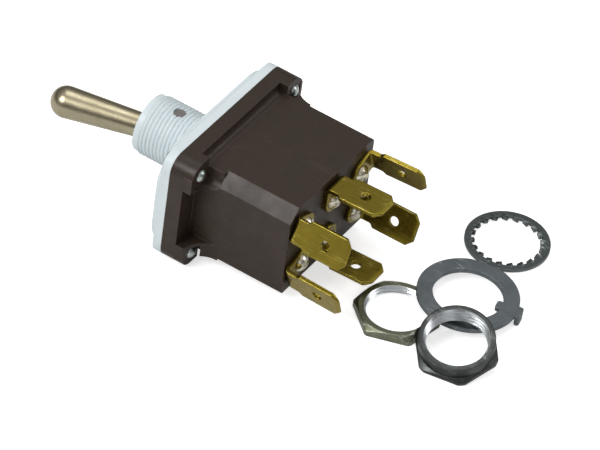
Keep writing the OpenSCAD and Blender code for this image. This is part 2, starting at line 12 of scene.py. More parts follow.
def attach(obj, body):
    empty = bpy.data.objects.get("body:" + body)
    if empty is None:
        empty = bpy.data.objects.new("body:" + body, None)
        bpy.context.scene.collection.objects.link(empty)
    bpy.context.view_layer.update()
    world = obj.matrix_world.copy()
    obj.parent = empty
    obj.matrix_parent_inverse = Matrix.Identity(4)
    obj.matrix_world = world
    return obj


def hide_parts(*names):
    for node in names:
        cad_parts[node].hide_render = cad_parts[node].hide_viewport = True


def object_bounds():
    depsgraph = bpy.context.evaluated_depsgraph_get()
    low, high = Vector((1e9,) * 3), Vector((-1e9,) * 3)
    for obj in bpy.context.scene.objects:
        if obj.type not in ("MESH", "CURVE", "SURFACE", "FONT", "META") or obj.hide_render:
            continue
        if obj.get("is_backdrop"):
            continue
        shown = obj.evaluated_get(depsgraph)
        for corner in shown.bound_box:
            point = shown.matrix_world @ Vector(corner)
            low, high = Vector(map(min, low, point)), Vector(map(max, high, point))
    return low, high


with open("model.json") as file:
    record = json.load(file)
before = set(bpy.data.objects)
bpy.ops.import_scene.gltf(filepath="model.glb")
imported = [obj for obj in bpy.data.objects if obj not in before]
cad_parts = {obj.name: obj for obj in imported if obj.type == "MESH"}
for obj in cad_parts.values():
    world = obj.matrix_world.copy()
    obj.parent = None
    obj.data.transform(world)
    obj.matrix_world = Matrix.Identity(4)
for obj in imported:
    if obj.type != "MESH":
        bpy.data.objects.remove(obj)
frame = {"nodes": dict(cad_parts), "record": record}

LOG = logging.getLogger("panel_toggle_switch")
MM = 0.001
WELD_MM = 0.0005
FLAT_DEG = 0.3
CRISP_DEG = 32.0
ROUNDED_DEG = 15.0
FLAT_WEIGHT = 80
CORNER_BAND_MM = 0.02
CORNER_COSINE = 0.9
BEVEL_SAMPLES = 6
WHITE = (1.0, 1.0, 1.0)
THREAD_PITCH = 0.794
Colour = tuple[float, float, float]


def linear_channel(value: int) -> float:
    """One display channel of 0 to 255 as linear light, by the sRGB curve.

    Args:
        value: The channel.

    Returns:
        The channel in linear light, 0 to 1.
    """
    part = value / 255.0
    return part / 12.92 if part <= 0.04045 else ((part + 0.055) / 1.055) ** 2.4


def linear(red: int, green: int, blue: int) -> Colour:
    """A display colour of 0 to 255 a channel as linear light.

    Args:
        red: Red channel.
        green: Green channel.
        blue: Blue channel.

    Returns:
        The same colour in linear light, 0 to 1 a channel.
    """
    return linear_channel(red), linear_channel(green), linear_channel(blue)


class Body(Enum):
    """The body that the scene's own pieces move with."""

    HOUSING = "housing"


class Slot(Enum):
    """Names of material slots, one for each kind of the scene's own pieces."""

    FRONT = "painted_front"
    PLATED_NUT = "plated_nut"
    BLACK_NUT = "black_nut"
    RING = "ring_steel"


# --------------------------------------------------------------------------- node trees


@dataclass
class Graph:
    """A node tree with short calls to add and join its nodes."""

    tree: bpy.types.NodeTree

    def add(self, kind: str, **settings: object) -> bpy.types.Node:
        """Adds a node.

        Args:
            kind: Blender's name of the node type.
            settings: Properties of the node, by name.

        Returns:
            The new node.
        """
        node = self.tree.nodes.new(kind)
        for name, value in settings.items():
            setattr(node, name, value)
        return node

    def join(self, source: object, target: bpy.types.NodeSocket) -> None:
        """Joins a socket to a socket, or sets a constant on it.

        Args:
            source: Socket, number or colour.
            target: The input socket.
        """
        if isinstance(source, bpy.types.NodeSocket):
            self.tree.links.new(source, target)
        else:
            target.default_value = source

    def maths(self, operation: str, *values: object,
              clamp: bool = False) -> bpy.types.NodeSocket:
        """Adds a Math node.

        Args:
            operation: Name of the operation.
            values: Sockets or numbers that it takes.
            clamp: True keeps the result from 0 to 1.

        Returns:
            The result's socket.
        """
        node = self.add("ShaderNodeMath", operation=operation, use_clamp=clamp)
        for socket, value in zip(node.inputs, values):
            self.join(value, socket)
        return node.outputs[0]

    def blend(self, factor: object, first: object, second: object) -> bpy.types.NodeSocket:
        """Adds a colour mix.

        Args:
            factor: 0 gives the first colour and 1 the second.
            first: Socket or linear colour.
            second: Socket or linear colour.

        Returns:
            The mixed colour's socket.
        """
        node = self.add("ShaderNodeMix", data_type="RGBA")
        self.join(factor, node.inputs[0])
        for socket, value in ((node.inputs[6], first), (node.inputs[7], second)):
            self.join((*value, 1.0) if isinstance(value, tuple) else value, socket)
        return node.outputs[2]

    def spread(self, value: object, low: float, high: float,
               to_low: float = 0.0, to_high: float = 1.0) -> bpy.types.NodeSocket:
        """Adds a clamped Map Range.

        Args:
            value: Socket to map.
            low: Input that gives to_low.
            high: Input that gives to_high.
            to_low: Lowest result.
            to_high: Highest result.

        Returns:
            The result's socket.
        """
        node = self.add("ShaderNodeMapRange")
        self.join(value, node.inputs["Value"])
        for name, number in (("From Min", low), ("From Max", high),
                             ("To Min", to_low), ("To Max", to_high)):
            node.inputs[name].default_value = number
        return node.outputs["Result"]

    def noise(self, place: object, scale: object, detail: float = 4.0,
              roughness: float = 0.55) -> bpy.types.NodeSocket:
        """Adds a noise.

        Args:
            place: Socket of the coordinates.
            scale: Socket or number of the noise's scale.
            detail: Octaves.
            roughness: Weight of the fine octaves.

        Returns:
            The noise's factor socket.
        """
        node = self.add("ShaderNodeTexNoise")
        self.join(place, node.inputs["Vector"])
        self.join(scale, node.inputs["Scale"])
        node.inputs["Detail"].default_value = detail
        node.inputs["Roughness"].default_value = roughness
        return node.outputs[0]


class EffectGroups:
    """The shader node groups that several finishes share, each built once."""

    def __init__(self) -> None:
        """Builds every group."""
        self.edge_wear_and_glint = self._edge_wear_and_glint()
        self.turned_grain = self._turned_grain()
        self.mottle = self._mottle()
        self.scratches = self._scratches()

    @staticmethod
    def _open(name: str, inputs: dict[str, tuple[str, object]],
              outputs: tuple[str, ...]) -> tuple[Graph, bpy.types.Node, bpy.types.Node]:
        """Makes an empty group with its sockets.

        Args:
            name: The group's name.
            inputs: Socket type and default value by input name.
            outputs: Names of the outputs, all values.

        Returns:
            The group's graph, its input node and its output node.
        """
        tree = bpy.data.node_groups.new(name, "ShaderNodeTree")
        for label, (kind, value) in inputs.items():
            socket = tree.interface.new_socket(label, in_out="INPUT", socket_type=kind)
            socket.default_value = value
        for label in outputs:
            tree.interface.new_socket(label, in_out="OUTPUT", socket_type="NodeSocketFloat")
        graph = Graph(tree)
        return graph, graph.add("NodeGroupInput"), graph.add("NodeGroupOutput")

    def _edge_wear_and_glint(self) -> bpy.types.NodeTree:
        """A mask that is 1 on convex and concave edges and broken up by noise. It marks rubbed
        edges and a painted highlight along the edges.

        Returns:
            The group, with the output Mask.
        """
        g, given, out = self._open(
            "edge_wear_and_glint",
            {"Radius": ("NodeSocketFloat", 0.2 * MM), "Breakup": ("NodeSocketFloat", 1500.0),
             "Reach": ("NodeSocketFloat", 6.0)},
            ("Mask",))
        rounded = g.add("ShaderNodeBevel", samples=BEVEL_SAMPLES)
        g.join(given.outputs["Radius"], rounded.inputs["Radius"])
        plain = g.add("ShaderNodeNewGeometry")
        dot = g.add("ShaderNodeVectorMath", operation="DOT_PRODUCT")
        g.join(rounded.outputs[0], dot.inputs[0])
        g.join(plain.outputs["Normal"], dot.inputs[1])
        bend = g.maths("SUBTRACT", 1.0, dot.outputs["Value"])
        place = g.add("ShaderNodeTexCoord").outputs["Object"]
        chips = g.spread(g.noise(place, given.outputs["Breakup"]), low=0.35, high=0.62)
        strong = g.maths("MULTIPLY", bend, given.outputs["Reach"], clamp=True)
        g.join(g.maths("MULTIPLY", strong, chips), out.inputs["Mask"])
        return g.tree

    def _turned_grain(self) -> bpy.types.NodeTree:
        """Fine streaks drawn out by a different scale on each axis.

        Returns:
            The group, with the outputs Streak and Height.
        """
        g, given, out = self._open(
            "drawn_grain",
            {"Stretch": ("NodeSocketVector", (1.0, 1.0, 1.0)),
             "Fine": ("NodeSocketFloat", 1.0)},
            ("Streak", "Height"))
        place = g.add("ShaderNodeTexCoord").outputs["Object"]
        drawn = g.add("ShaderNodeVectorMath", operation="MULTIPLY")
        g.join(place, drawn.inputs[0])
        g.join(given.outputs["Stretch"], drawn.inputs[1])
        coarse = g.noise(drawn.outputs[0], given.outputs["Fine"], detail=3.0, roughness=0.6)
        finer = g.maths("MULTIPLY", given.outputs["Fine"], 3.1)
        fine = g.noise(drawn.outputs[0], finer, detail=2.0, roughness=0.7)
        g.join(g.spread(coarse, low=0.3, high=0.7), out.inputs["Streak"])
        g.join(g.maths("MULTIPLY_ADD", fine, 0.6, g.maths("MULTIPLY", coarse, 0.4)),
               out.inputs["Height"])
        return g.tree

    def _mottle(self) -> bpy.types.NodeTree:
        """Soft clouds over a fine grain, as in a moulding, a stain or a coat of paint.

        Returns:
            The group, with the outputs Cloud and Grain.
        """
        g, given, out = self._open(
            "mottle",
            {"Cloud": ("NodeSocketFloat", 200.0), "Grain": ("NodeSocketFloat", 2500.0)},
            ("Cloud", "Grain"))
        place = g.add("ShaderNodeTexCoord").outputs["Object"]
        cloud = g.noise(place, given.outputs["Cloud"], detail=5.0, roughness=0.6)
        g.join(g.spread(cloud, low=0.3, high=0.7), out.inputs["Cloud"])
        grain = g.noise(place, given.outputs["Grain"], detail=2.0, roughness=0.5)
        g.join(grain, out.inputs["Grain"])
        return g.tree

    def _scratches(self) -> bpy.types.NodeTree:
        """Thin crossed handling marks.

        Returns:
            The group, with the output Mask.
        """
        g, given, out = self._open(
            "handling_marks",
            {"Scale": ("NodeSocketFloat", 300.0), "Width": ("NodeSocketFloat", 0.03)},
            ("Mask",))
        place = g.add("ShaderNodeTexCoord").outputs["Object"]
        masks = []
        for turn in ((0.3, 0.9, 0.2), (1.4, 0.1, 0.8)):
            turned = g.add("ShaderNodeMapping")
            g.join(place, turned.inputs["Vector"])
            turned.inputs["Rotation"].default_value = turn
            turned.inputs["Scale"].default_value = (1.0, 0.12, 1.0)
            cells = g.add("ShaderNodeTexVoronoi", feature="DISTANCE_TO_EDGE")
            g.join(turned.outputs[0], cells.inputs["Vector"])
            g.join(given.outputs["Scale"], cells.inputs["Scale"])
            line = g.maths("LESS_THAN", cells.outputs["Distance"], given.outputs["Width"])
            gaps = g.noise(place, g.maths("MULTIPLY", given.outputs["Scale"], 0.8))
            broken = g.spread(gaps, low=0.5, high=0.62)
            masks.append(g.maths("MULTIPLY", line, broken))
        g.join(g.maths("MAXIMUM", *masks), out.inputs["Mask"])
        return g.tree


EFFECTS = EffectGroups()


@dataclass
class Dressing(Graph):
    """A material's node tree, with its Principled shader and the shared effects."""

    material: bpy.types.Material = None
    shader: bpy.types.Node = None

    @classmethod
    def start(cls, name: str) -> "Dressing":
        """Makes an empty material.

        Args:
            name: The material's name.

        Returns:
            The material's graph with a Principled shader in it.
        """
        material = bpy.data.materials.new(name)
        material.use_nodes = True
        tree = material.node_tree
        tree.nodes.clear()
        made = cls(tree, material)
        made.shader = made.add("ShaderNodeBsdfPrincipled")
        output = made.add("ShaderNodeOutputMaterial")
        made.join(made.shader.outputs[0], output.inputs["Surface"])
        return made

    def effect(self, group: bpy.types.NodeTree, **values: object) -> bpy.types.Node:
        """Places a shared effect.

        Args:
            group: The effect's node group.
            values: Its inputs by name.

        Returns:
            The placed node.
        """
        node = self.add("ShaderNodeGroup", node_tree=group)
        for name, value in values.items():
            self.join(value, node.inputs[name])
        return node

    def relief(self, height: object, depth: float, edge: float) -> None:
        """Joins a height to the shader's normal over softly rounded edges.

        Args:
            height: Socket from 0 to 1.
            depth: Depth in metres of a height of 1.
            edge: Radius in metres of the rounded edges.
        """
        bump = self.add("ShaderNodeBump")
        bump.inputs["Distance"].default_value = depth
        bump.inputs["Strength"].default_value = 1.0
        self.join(height, bump.inputs["Height"])
        if edge:
            rounded = self.add("ShaderNodeBevel", samples=BEVEL_SAMPLES)
            rounded.inputs["Radius"].default_value = edge
            self.join(rounded.outputs[0], bump.inputs["Normal"])
        self.join(bump.outputs[0], self.shader.inputs["Normal"])


# --------------------------------------------------------------------------- finishes


@dataclass(frozen=True)
class MetalFinish:
    """A bare or plated metal with drawn or turned grain, stains, and bright edges that are
    partly rubbed and partly a painted highlight.
    """

    name: str
    colour: Colour
    stain: Colour
    edge: Colour
    roughness: float = 0.3
    roughness_spread: float = 0.12
    stretch: tuple[float, float, float] = (400.0, 400.0, 400.0)
    grain_depth: float = 0.004
    stain_scale: float = 350.0
    stain_amount: float = 0.5
    streak_amount: float = 0.25
    edge_radius: float = 0.12
    scratch_amount: float = 0.35
    streak_shade: float = 0.62
    stain_grain: float = 2600.0
    scratch_scale: float = 420.0
    scratch_width: float = 0.018
    scratch_depth: float = 0.4

    def build(self) -> bpy.types.Material:
        """Makes the material.

        Returns:
            The material.
        """
        d = Dressing.start(self.name)
        grain = d.effect(EFFECTS.turned_grain, Stretch=self.stretch)
        spots = d.effect(EFFECTS.mottle, Cloud=self.stain_scale, Grain=self.stain_grain)
        wear_and_glint = d.effect(EFFECTS.edge_wear_and_glint, Radius=self.edge_radius * MM)
        marks = d.effect(EFFECTS.scratches, Scale=self.scratch_scale,
                         Width=self.scratch_width)
        stained = d.blend(d.maths("MULTIPLY", spots.outputs["Cloud"], self.stain_amount),
                          self.colour, self.stain)
        darker = tuple(self.streak_shade * part for part in self.colour)
        streaked = d.blend(d.maths("MULTIPLY", grain.outputs["Streak"], self.streak_amount),
                           stained, darker)
        # Pale edges: partly rubbed metal, partly a painted highlight along the edges.
        worn_and_glinting = d.blend(wear_and_glint.outputs["Mask"], streaked, self.edge)
        marked = d.blend(d.maths("MULTIPLY", marks.outputs["Mask"], self.scratch_amount),
                         worn_and_glinting, self.edge)
        d.join(marked, d.shader.inputs["Base Color"])
        d.shader.inputs["Metallic"].default_value = 1.0
        uneven = d.maths("MULTIPLY_ADD", spots.outputs["Cloud"], self.roughness_spread,
                         self.roughness)
        d.join(d.maths("MULTIPLY_ADD", grain.outputs["Streak"], 0.5 * self.roughness_spread,
                       uneven), d.shader.inputs["Roughness"])
        height = d.maths("SUBTRACT", grain.outputs["Height"],
                         d.maths("MULTIPLY", marks.outputs["Mask"], self.scratch_depth))
        d.relief(height, self.grain_depth * MM, self.edge_radius * MM)
        return d.material


@dataclass(frozen=True)
class PaintFinish:
    """Paint on a metal front, with a fine skin, dust in the corners and thin edges, whose pale
    colour is partly a painted highlight.
    """

    name: str
    colour: Colour
    shade: Colour
    edge: Colour
    roughness: float = 0.42
    roughness_spread: float = 0.12
    skin_depth: float = 0.012
    skin_cloud: float = 260.0
    skin_grain: float = 1900.0
    brush: tuple[float, float, float] = (90.0, 1500.0, 90.0)
    cloud_amount: float = 0.45
    brush_amount: float = 0.18
    edge_radius: float = 0.25
    edge_reach: float = 2.5
    edge_amount: float = 0.7
    specular: float = 0.45
    coat: float = 0.15
    coat_roughness: float = 0.3

    def build(self) -> bpy.types.Material:
        """Makes the material.

        Returns:
            The material.
        """
        d = Dressing.start(self.name)
        skin = d.effect(EFFECTS.mottle, Cloud=self.skin_cloud, Grain=self.skin_grain)
        wear_and_glint = d.effect(EFFECTS.edge_wear_and_glint, Radius=self.edge_radius * MM,
                        Reach=self.edge_reach)
        grain = d.effect(EFFECTS.turned_grain, Stretch=self.brush)
        clouded = d.blend(d.maths("MULTIPLY", skin.outputs["Cloud"], self.cloud_amount),
                          self.colour, self.shade)
        brushed = d.blend(d.maths("MULTIPLY", grain.outputs["Streak"], self.brush_amount),
                          clouded, self.edge)
        # Pale edges: partly rubbed paint, partly a painted highlight along the edges.
        rubbed = d.maths("MULTIPLY", wear_and_glint.outputs["Mask"], self.edge_amount)
        d.join(d.blend(rubbed, brushed, self.edge), d.shader.inputs["Base Color"])
        d.join(d.maths("MULTIPLY_ADD", skin.outputs["Cloud"], self.roughness_spread,
                       self.roughness), d.shader.inputs["Roughness"])
        d.shader.inputs["Specular IOR Level"].default_value = self.specular
        d.shader.inputs["Coat Weight"].default_value = self.coat
        d.shader.inputs["Coat Roughness"].default_value = self.coat_roughness
        height = d.maths("MULTIPLY_ADD", grain.outputs["Height"], 0.5, skin.outputs["Grain"])
        d.relief(height, self.skin_depth * MM, self.edge_radius * MM)
        return d.material


@dataclass(frozen=True)
class MouldedFinish:
    """A moulded plastic with flow clouds, a fine skin and rubbed edges, whose pale colour is
    partly a painted highlight.
    """

    name: str
    colour: Colour
    cloud: Colour
    edge: Colour
    roughness: float = 0.45
    skin_depth: float = 0.02
    cloud_scale: float = 160.0
    grain_scale: float = 2200.0
    edge_radius: float = 0.2
    edge_reach: float = 3.0
    edge_amount: float = 0.6
    specular: float = 0.5
    cloud_amount: float = 0.7
    speck_from: float = 0.62
    speck_full: float = 0.75
    speck_amount: float = 0.12
    scratch_scale: float = 180.0
    scratch_width: float = 0.012
    scratch_amount: float = 0.05
    roughness_spread: float = 0.14

    def build(self) -> bpy.types.Material:
        """Makes the material.

        Returns:
            The material.
        """
        d = Dressing.start(self.name)
        flow = d.effect(EFFECTS.mottle, Cloud=self.cloud_scale, Grain=self.grain_scale)
        wear_and_glint = d.effect(EFFECTS.edge_wear_and_glint, Radius=self.edge_radius * MM,
                        Reach=self.edge_reach)
        marks = d.effect(EFFECTS.scratches, Scale=self.scratch_scale,
                         Width=self.scratch_width)
        clouded = d.blend(d.maths("MULTIPLY", flow.outputs["Cloud"], self.cloud_amount),
                          self.colour, self.cloud)
        specks = d.spread(flow.outputs["Grain"], self.speck_from, self.speck_full,
                          0.0, self.speck_amount)
        speckled = d.blend(specks, clouded, self.edge)
        # Pale edges: partly rubbed plastic, partly a painted highlight along the edges.
        rubbed = d.blend(d.maths("MULTIPLY", wear_and_glint.outputs["Mask"], self.edge_amount),
                         speckled, self.edge)
        scratched = d.maths("MULTIPLY", marks.outputs["Mask"], self.scratch_amount)
        d.join(d.blend(scratched, rubbed, self.edge), d.shader.inputs["Base Color"])
        d.join(d.maths("MULTIPLY_ADD", flow.outputs["Cloud"], self.roughness_spread,
                       self.roughness), d.shader.inputs["Roughness"])
        d.shader.inputs["Specular IOR Level"].default_value = self.specular
        d.relief(flow.outputs["Grain"], self.skin_depth * MM, self.edge_radius * MM)
        return d.material


FRONT_PAINT = PaintFinish("front_paint", linear(206, 216, 219), linear(192, 204, 210),
                          linear(228, 233, 232))
CASE_PHENOLIC = MouldedFinish("case_phenolic", linear(51, 38, 30), linear(42, 36, 26),
                              linear(108, 92, 82), roughness=0.34, specular=0.3,
                              cloud_scale=230.0)
YOKE_NYLON = MouldedFinish("yoke_nylon", linear(222, 214, 192), linear(205, 196, 172),
                           linear(236, 230, 214), roughness=0.38, edge_radius=0.12)
GASKET_RUBBER = MouldedFinish("gasket_rubber", linear(38, 38, 40), linear(30, 30, 31),
                              linear(60, 60, 62), roughness=0.7, edge_radius=0.05)
LEVER_NICKEL = MetalFinish("lever_satin_nickel", linear(172, 163, 138), linear(144, 135, 106),
                           linear(212, 206, 184), roughness=0.27, roughness_spread=0.08,
                           stretch=(160.0, 2600.0, 160.0), grain_depth=0.005,
                           stain_scale=260.0, streak_amount=0.3, scratch_amount=0.2)
PIN_STEEL = MetalFinish("pin_ground_steel", linear(150, 146, 144), linear(120, 116, 114),
                        linear(200, 198, 194), roughness=0.35, edge_radius=0.08)
SPRING_WIRE = MetalFinish("spring_wire", linear(170, 168, 162), linear(140, 138, 130),
                          linear(205, 202, 196), roughness=0.25, edge_radius=0.02)
CONTACT_ALLOY = MetalFinish("contact_silver", linear(206, 202, 192), linear(180, 172, 150),
                            linear(232, 230, 222), roughness=0.25, edge_radius=0.06)
# The pale gold edge colour is a painted highlight along the blades' edges.
TERMINAL_BRASS = MetalFinish("terminal_gilt_brass", linear(150, 132, 50), linear(122, 110, 40),
                             linear(248, 232, 144), roughness=0.22, roughness_spread=0.1,
                             stretch=(900.0, 130.0, 900.0), grain_depth=0.003,
                             stain_scale=300.0, stain_amount=0.6, streak_amount=0.2,
                             edge_radius=0.15, scratch_amount=0.3)
STUD_PLATE = MetalFinish("stud_plate", linear(226, 222, 208), linear(206, 190, 140),
                         linear(248, 244, 226), roughness=0.16, stain_amount=0.3,
                         streak_amount=0.1, scratch_amount=0.1, edge_radius=0.12)
RIVET_STEEL = MetalFinish("rivet_steel", linear(190, 198, 196), linear(150, 160, 150),
                          linear(226, 232, 230), roughness=0.22, edge_radius=0.1)
NUT_ZINC = MetalFinish("nut_zinc", linear(130, 133, 114), linear(84, 88, 72),
                       linear(240, 242, 230), roughness=0.26, roughness_spread=0.16,
                       stretch=(220.0, 220.0, 1800.0), stain_scale=420.0, stain_amount=0.6)
NUT_BLACK = MetalFinish("nut_black_oxide", linear(74, 77, 76), linear(40, 40, 40),
                        linear(132, 134, 132), roughness=0.3, stretch=(220.0, 220.0, 1800.0),
                        stain_amount=0.6, edge_radius=0.14)
# The near-white thread colour is partly the metal and partly a painted highlight inside the
# nuts' bores.
THREAD_METAL_AND_HIGHLIGHT = MetalFinish("thread_metal_and_highlight", linear(226, 230, 233), linear(170, 174, 178),
                            linear(244, 246, 247), roughness=0.24, stain_amount=0.4,
                            streak_amount=0.1, scratch_amount=0.0, grain_depth=0.001,
                            edge_radius=0.03)
RING_STEEL = MetalFinish("ring_dull_steel", linear(118, 124, 127), linear(98, 103, 106),
                         linear(176, 180, 180), roughness=0.42, roughness_spread=0.15,
                         stain_scale=260.0, stain_amount=0.7, scratch_amount=0.4)
WASHER_STEEL = MetalFinish("washer_dark_steel", linear(104, 110, 110), linear(76, 82, 80),
                           linear(190, 198, 196), roughness=0.26, stain_amount=0.6,
                           edge_radius=0.08)


# --------------------------------------------------------------------------- mesh tools


def smooth_group() -> bpy.types.NodeTree:
    """A modifier that shades smooth below an edge angle and leaves sharper edges crisp.

    Returns:
        The modifier's node group.
    """
    tree = bpy.data.node_groups.new("shade_by_angle", "GeometryNodeTree")
    tree.interface.new_socket("Geometry", in_out="INPUT", socket_type="NodeSocketGeometry")
    angle = tree.interface.new_socket("Angle", in_out="INPUT", socket_type="NodeSocketFloat")
    angle.default_value = math.radians(CRISP_DEG)
    tree.interface.new_socket("Geometry", in_out="OUTPUT", socket_type="NodeSocketGeometry")
    g = Graph(tree)
    given, out = g.add("NodeGroupInput"), g.add("NodeGroupOutput")
    faces = g.add("GeometryNodeSetShadeSmooth", domain="FACE")
    edges = g.add("GeometryNodeSetShadeSmooth", domain="EDGE")
    turn = g.add("GeometryNodeInputMeshEdgeAngle")
    sharp = g.add("FunctionNodeCompare", data_type="FLOAT", operation="GREATER_THAN")
    g.join(turn.outputs["Unsigned Angle"], sharp.inputs[0])
    g.join(given.outputs["Angle"], sharp.inputs[1])
    g.join(given.outputs["Geometry"], faces.inputs["Geometry"])
    g.join(faces.outputs[0], edges.inputs["Geometry"])
    g.join(sharp.outputs[0], edges.inputs["Selection"])
    edges.inputs["Shade Smooth"].default_value = False
    g.join(edges.outputs[0], out.inputs[0])
    return tree


SHADE_BY_ANGLE = smooth_group()


def drop_stored_normals(mesh: bpy.types.Mesh) -> None:
    """Removes the normals that a mesh came with, so that new ones follow its shape.

    Args:
        mesh: The mesh.
    """
    stored = mesh.attributes.get("custom_normal")
    if stored:
        mesh.attributes.remove(stored)


def put_in_scene(name: str, work: bmesh.types.BMesh) -> bpy.types.Object:
    """Makes an object of a finished work mesh, which is freed.

    Args:
        name: Name of the object and of its mesh.
        work: The work mesh.

    Returns:
        The object.
    """
    mesh = bpy.data.meshes.new(name)
    work.to_mesh(mesh)
    work.free()
    piece = bpy.data.objects.new(name, mesh)
    bpy.context.scene.collection.objects.link(piece)
    return piece


def soften(piece: bpy.types.Object, width: float, segments: int = 2,
           angle: float = CRISP_DEG) -> None:
    """Rounds a piece's sharp edges with modifiers, and shades the rest smooth.

    Args:
        piece: A CAD node or a piece of the scene.
        width: Width of the rounding in millimetres; 0 leaves the edges.
        segments: Faces across the rounding.
        angle: Edges sharper than this, in degrees, stay crisp or are rounded.
    """
    drop_stored_normals(piece.data)
    weld = piece.modifiers.new("weld", "WELD")
    weld.merge_threshold = WELD_MM * MM
    if width:
        flat = piece.modifiers.new("join_flats", "DECIMATE")
        flat.decimate_type = "DISSOLVE"
        flat.angle_limit = math.radians(FLAT_DEG)
        rounding = piece.modifiers.new("round_edges", "BEVEL")
        rounding.width = width * MM
        rounding.segments = segments
        rounding.limit_method = "ANGLE"
        rounding.angle_limit = math.radians(angle)
        rounding.use_clamp_overlap = True
        rounding.miter_outer = "MITER_ARC"
    shade = piece.modifiers.new("shade_by_angle", "NODES")
    shade.node_group = SHADE_BY_ANGLE
    socket = SHADE_BY_ANGLE.interface.items_tree["Angle"].identifier
    shade[socket] = math.radians(angle + ROUNDED_DEG if width else angle)
    flats = piece.modifiers.new("flat_faces", "WEIGHTED_NORMAL")
    flats.keep_sharp = True
    flats.weight = FLAT_WEIGHT


def coat(piece: bpy.types.Object, *materials: bpy.types.Material) -> None:
    """Gives a piece these materials in place of its own.

    Args:
        piece: The piece. Faces of a piece that had none keep their material index.
        materials: The materials, in order.
    """
    if piece.data.materials:
        piece.data.materials.clear()
    for material in materials:
        piece.data.materials.append(material)


def copy_of(node: str, name: str) -> bpy.types.Object:
    """Copies a CAD node's shape as one closed mesh.

    Args:
        node: Name of the CAD node.
        name: Name of the new piece.

    Returns:
        The new piece, at rest in the part's frame.
    """
    mesh = frame["nodes"][node].data.copy()
    mesh.name = name
    drop_stored_normals(mesh)
    work = bmesh.new()
    work.from_mesh(mesh)
    bmesh.ops.remove_doubles(work, verts=work.verts, dist=WELD_MM * MM)
    work.to_mesh(mesh)
    work.free()
    piece = bpy.data.objects.new(name, mesh)
    bpy.context.scene.collection.objects.link(piece)
    return piece


# --------------------------------------------------------------------------- threads


@dataclass(frozen=True)
class ThreadForm:
    """A single-start thread cut along an axis, between two places on it."""

    origin: Vector
    axis: Vector
    crest_r: float
    root_r: float
    start: float
    stop: float
    pitch: float = THREAD_PITCH
    crest_share: float = 0.16
    root_share: float = 0.2
    fade_rate: float = 1.6
    shoulder_l: float = 0.02
    steps_round: int = 112
    steps_pitch: int = 9

    def _radius(self, along: float, turn: float) -> float:
        """Radius of the form, which fades out towards both ends.

        Args:
            along: Place on the axis, in millimetres.
            turn: Angle about the axis, in radians.

        Returns:
            The radius in millimetres.
        """
        phase = (along / self.pitch - turn / math.tau) % 1.0
        rise = abs(2.0 * phase - 1.0)
        share = (rise - self.root_share) / (1.0 - self.root_share - self.crest_share)
        share = min(max(share, 0.0), 1.0)
        ends = min(along - self.start, self.stop - along) / self.pitch
        fade = min(max(ends * self.fade_rate, 0.0), 1.0)
        return self.crest_r + (self.root_r - self.crest_r) * (1.0 - share) * fade

    def tool(self, clear_r: float, beyond: float) -> bpy.types.Object:
        """Builds the closed solid that cuts the thread.

        Args:
            clear_r: Radius outside the threaded length, in millimetres.
            beyond: How far the solid goes past each end, in millimetres.

        Returns:
            The solid, in place.
        """
        length = self.stop - self.start
        rows = max(2, round(length / self.pitch * self.steps_pitch))
        threaded = [self.start + length * i / rows for i in range(rows + 1)]
        places = [self.start - beyond, self.start - self.shoulder_l, *threaded,
                  self.stop + self.shoulder_l, self.stop + beyond]
        turned = Vector((0, 0, 1)).rotation_difference(self.axis).to_matrix()
        work = bmesh.new()
        rings = []
        for along in places:
            inside = self.start <= along <= self.stop
            ring = []
            for k in range(self.steps_round):
                turn = math.tau * k / self.steps_round
                r = self._radius(along, turn) if inside else clear_r
                local = Vector((r * math.cos(turn), r * math.sin(turn), along)) * MM
                ring.append(work.verts.new(self.origin + turned @ local))
            rings.append(ring)
        for low, high in zip(rings, rings[1:]):
            for k in range(self.steps_round):
                m = (k + 1) % self.steps_round
                work.faces.new((low[k], low[m], high[m], high[k]))
        work.faces.new(list(reversed(rings[0])))
        work.faces.new(rings[-1])
        return put_in_scene("thread_tool", work)

    def cut(self, piece: bpy.types.Object, clear_r: float, beyond: float) -> None:
        """Cuts the thread round the outside of a piece.

        Args:
            piece: The piece, which keeps the result as its own mesh.
            clear_r: Radius of the tool outside the threaded length, in millimetres.
            beyond: How far the tool goes past each end, in millimetres.
        """
        solid = self.tool(clear_r, beyond)
        step = piece.modifiers.new("thread", "BOOLEAN")
        step.operation = "INTERSECT"
        step.solver = "EXACT"
        step.object = solid
        ready = piece.evaluated_get(bpy.context.evaluated_depsgraph_get())
        cut_mesh = bpy.data.meshes.new_from_object(ready)
        old = piece.data
        piece.modifiers.clear()
        piece.data = cut_mesh
        bpy.data.meshes.remove(old)
        bpy.data.objects.remove(solid)


# --------------------------------------------------------------------------- sub-assemblies


@dataclass
class SubAssembly:
    """Named CAD nodes that share a body, and the pieces that stand for some of them."""

    nodes: dict[str, bpy.types.Object] = field(default_factory=lambda: frame["nodes"])

    def dress(self, names: list[str], material: bpy.types.Material,
              rounding: float, segments: int = 2) -> None:
        """Gives CAD nodes a finish and rounded edges.

        Args:
            names: The CAD nodes.
            material: Their material.
            rounding: Width of the rounding in millimetres.
            segments: Faces across the rounding.
        """
        for name in names:
            node = self.nodes[name]
            coat(node, material)
            soften(node, rounding, segments)
            LOG.info("%s: %s", name, material.name)

    @staticmethod
    def place(piece: bpy.types.Object, body: Body, slot: Slot, *nodes: str) -> None:
        """Rides a piece on a body in place of CAD nodes.

        Args:
            piece: The new piece.
            body: The body that it moves with.
            slot: Not used.
            nodes: CAD nodes that it stands for.
        """
        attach(piece, body.value)
        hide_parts(*nodes)
        LOG.info("%s stands for %s", piece.name, ", ".join(nodes))


